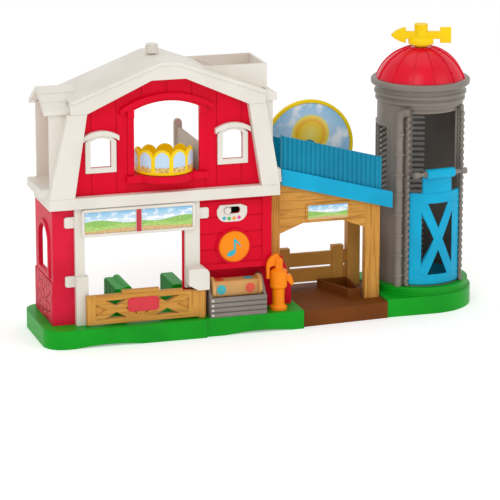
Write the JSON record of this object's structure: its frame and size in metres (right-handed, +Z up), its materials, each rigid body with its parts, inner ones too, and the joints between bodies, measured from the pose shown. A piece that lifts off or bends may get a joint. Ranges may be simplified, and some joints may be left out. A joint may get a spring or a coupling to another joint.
{
  "type": "toy barn",
  "caption": "Toy barn with a loft and turning nest, swinging gate, music panel, slide and a silo with a sliding lift, on one base.",
  "frame": {"origin": "middle of the footprint, on the ground", "axes": "+X to the silo, +Y to the open back, +Z up"},
  "size_m": [0.419, 0.112, 0.2625],
  "materials": {
    "red_plastic": "satin",
    "dome_plastic": "gloss",
    "ivory_plastic": "satin",
    "green_plastic": "satin",
    "mud_plastic": "matte",
    "timber_plastic": "satin",
    "silo_plastic": "satin",
    "crate_plastic": "satin",
    "tan_plastic": "satin",
    "orange_plastic": "gloss",
    "yellow_plastic": "gloss",
    "teal_plastic": "satin",
    "blue_plastic": "satin",
    "dark_plastic": "matte",
    "board": "satin",
    "plain_steel": "satin"
  },
  "bodies": {
    "barn": {"left_wall": "red_plastic", "music_housing": "red_plastic", "upper_front": "red_plastic", "music_rear_cover": "red_plastic", "battery_door": "red_plastic", "silo_dome": "dome_plastic", "door_post_left": "ivory_plastic", "door_post_right": "ivory_plastic", "sign_board": "ivory_plastic", "loft_floor": "ivory_plastic", "window_trim_left": "ivory_plastic", "window_trim_right": "ivory_plastic", "side_frame_left": "ivory_plastic", "side_frame_right": "ivory_plastic", "roof_top": "ivory_plastic", "hopper_box": "ivory_plastic", "ridge_knob": "ivory_plastic", "switch_plate": "ivory_plastic", "base_tray": "green_plastic", "silo_pad": "green_plastic", "stall_divider_left": "green_plastic", "stall_divider_right": "green_plastic", "yard_floor": "mud_plastic", "rail_fence": "mud_plastic", "leanto_frame": "timber_plastic", "silo_body": "silo_plastic", "silo_pipe": "silo_plastic", "silo_rack_left": "silo_plastic", "silo_rack_right": "silo_plastic", "chute_wall": "silo_plastic", "feed_crate": "crate_plastic", "pump_body": "orange_plastic", "slide": "teal_plastic", "fascia": "blue_plastic", "battery_tray": "dark_plastic", "speaker": "dark_plastic", "circuit_board": "board", "gate_pin": "plain_steel", "nest_spindle": "plain_steel", "sky_disc_pin": "plain_steel", "cover_screws": "plain_steel", "batteries": "plain_steel"},
    "gate": {"gate": "timber_plastic"},
    "nest": {"nest_ring": "yellow_plastic"},
    "roller": {"feed_roller": "tan_plastic"},
    "lift": {"silo_lift": "blue_plastic", "lift_rod": "silo_plastic"},
    "vane": {"weather_vane": "yellow_plastic"},
    "button": {"music_button": "orange_plastic"},
    "switch": {"switch_knob": "ivory_plastic"},
    "pump_lever": {"pump_handle": "orange_plastic"},
    "sky": {"sky_disc": "yellow_plastic"}
  },
  "joints": [
    {"name": "gate_swing", "type": "hinge", "parent": "barn", "child": "gate", "pos_m": [-0.065, -0.046, 0.03], "axis": [0, 0, 1], "range_deg": [0, 88]},
    {"name": "nest_spin", "type": "hinge", "parent": "barn", "child": "nest", "pos_m": [-0.0935, -0.025, 0.151], "axis": [0, 0, 1], "continuous": true},
    {"name": "roller_spin", "type": "hinge", "parent": "barn", "child": "roller", "pos_m": [-0.0335, -0.0396, 0.041], "axis": [1, 0, 0], "continuous": true},
    {"name": "lift_slide", "type": "slide", "parent": "barn", "child": "lift", "axis": [0, 0, 1], "range_m": [0, 0.05]},
    {"name": "vane_spin", "type": "hinge", "parent": "barn", "child": "vane", "pos_m": [0.1605, 0.007, 0.241], "axis": [0, 0, 1], "continuous": true},
    {"name": "button_press", "type": "slide", "parent": "barn", "child": "button", "axis": [0, 1, 0], "range_m": [0, 0.002], "stiffness_N_per_m": 1000},
    {"name": "switch_slide", "type": "slide", "parent": "barn", "child": "switch", "axis": [1, 0, 0], "range_m": [0, 0.009]},
    {"name": "pump_swing", "type": "hinge", "parent": "barn", "child": "pump_lever", "pos_m": [0.009, -0.041, 0.0604], "axis": [0, 1, 0], "range_deg": [0, 20]},
    {"name": "sky_spin", "type": "hinge", "parent": "barn", "child": "sky", "pos_m": [0.0601, 0.03, 0.1498], "axis": [0, 1, 0], "continuous": true}
  ]
}
